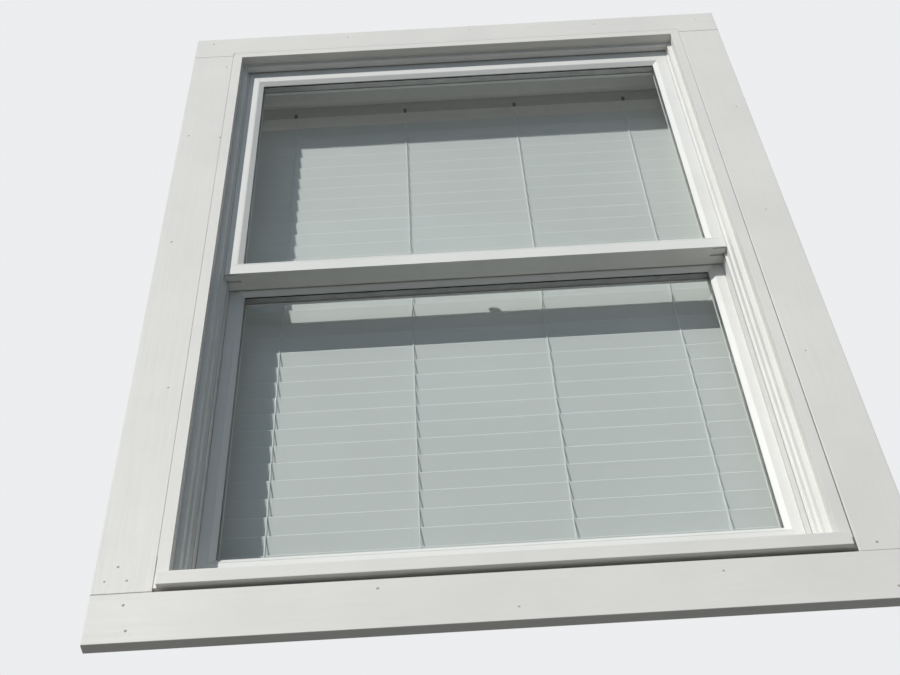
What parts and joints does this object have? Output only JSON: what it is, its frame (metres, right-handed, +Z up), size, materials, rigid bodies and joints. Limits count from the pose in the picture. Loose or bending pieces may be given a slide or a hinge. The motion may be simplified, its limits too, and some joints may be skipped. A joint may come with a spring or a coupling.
{
  "type": "sash window",
  "caption": "Double-hung sash window with vertically sliding sashes, stepped frame, flat casing, sloped sill, sash lock and inside slatted blind.",
  "frame": {"origin": "middle of the wall plane, on the underside of the sill", "axes": "+X to the right seen from outside, +Y into the house, +Z up"},
  "size_m": [1.181, 0.2087, 1.6834],
  "materials": {
    "painted_wood": "white paint, satin",
    "white_vinyl": "satin",
    "glass": "clear",
    "spacer": "matt",
    "steel": "zinc plated",
    "nylon": "matt",
    "lock": "satin",
    "seal": "matt",
    "slat": "satin",
    "ladder": "woven",
    "blind_metal": "satin"
  },
  "bodies": {
    "frame": {"head_casing": "painted_wood", "left_casing": "painted_wood", "right_casing": "painted_wood", "bottom_casing": "painted_wood", "head_blind_stop": "painted_wood", "left_blind_stop": "painted_wood", "right_blind_stop": "painted_wood", "head_jamb": "painted_wood", "left_jamb": "painted_wood", "right_jamb": "painted_wood", "sill": "painted_wood", "head_stop": "white_vinyl", "left_jamb_liner": "white_vinyl", "right_jamb_liner": "white_vinyl", "head_extension": "painted_wood", "left_extension": "painted_wood", "right_extension": "painted_wood", "stool": "painted_wood", "upper_left_balance_tube": "nylon", "upper_right_balance_tube": "nylon", "lower_left_balance_tube": "nylon", "lower_right_balance_tube": "nylon", "balance_screws": "steel", "blind_headrail": "blind_metal", "blind_brackets": "blind_metal", "blind_slats": "slat", "blind_ladders": "ladder", "blind_rungs": "ladder", "blind_bottom_rail": "slat"},
    "upper_sash": {"upper_left_stile": "white_vinyl", "upper_right_stile": "white_vinyl", "upper_top_rail": "white_vinyl", "upper_meeting_rail": "white_vinyl", "upper_glazing_bead": "white_vinyl", "upper_outer_pane": "glass", "upper_spacer": "spacer", "upper_inner_pane": "glass", "upper_pivot_bars": "steel", "upper_balance_shoes": "nylon", "upper_balance_rods": "steel", "lock_keeper": "lock"},
    "lower_sash": {"lower_left_stile": "white_vinyl", "lower_right_stile": "white_vinyl", "lower_check_rail": "white_vinyl", "lower_bottom_rail": "white_vinyl", "lower_glazing_bead": "white_vinyl", "lower_outer_pane": "glass", "lower_spacer": "spacer", "lower_inner_pane": "glass", "lower_pivot_bars": "steel", "lower_balance_shoes": "nylon", "lower_balance_rods": "steel", "check_rail_seal": "seal", "sill_seal": "seal", "lock_base": "lock"},
    "lock_lever": {"lock_cam": "lock"},
    "upper_left_latch_bolt": {"upper_left_latch": "nylon"},
    "upper_right_latch_bolt": {"upper_right_latch": "nylon"},
    "lower_left_latch_bolt": {"lower_left_latch": "nylon"},
    "lower_right_latch_bolt": {"lower_right_latch": "nylon"}
  },
  "joints": [
    {"name": "lower_sash_slide", "type": "slide", "parent": "frame", "child": "lower_sash", "axis": [0, 0, 1], "range_m": [0, 0.62]},
    {"name": "upper_sash_slide", "type": "slide", "parent": "frame", "child": "upper_sash", "axis": [0, 0, -1], "range_m": [0, 0.62]},
    {"name": "lock_turn", "type": "hinge", "parent": "lower_sash", "child": "lock_lever", "pos_m": [0, 0.078, 0.8113], "axis": [0, 0, -1], "range_deg": [0, 180]},
    {"name": "upper_left_latch_draw", "type": "slide", "parent": "upper_sash", "child": "upper_left_latch_bolt", "axis": [1, 0, 0], "range_m": [0, 0.009], "stiffness_N_per_m": 300},
    {"name": "upper_right_latch_draw", "type": "slide", "parent": "upper_sash", "child": "upper_right_latch_bolt", "axis": [-1, 0, 0], "range_m": [0, 0.009], "stiffness_N_per_m": 300},
    {"name": "lower_left_latch_draw", "type": "slide", "parent": "lower_sash", "child": "lower_left_latch_bolt", "axis": [1, 0, 0], "range_m": [0, 0.009], "stiffness_N_per_m": 300},
    {"name": "lower_right_latch_draw", "type": "slide", "parent": "lower_sash", "child": "lower_right_latch_bolt", "axis": [-1, 0, 0], "range_m": [0, 0.009], "stiffness_N_per_m": 300}
  ]
}
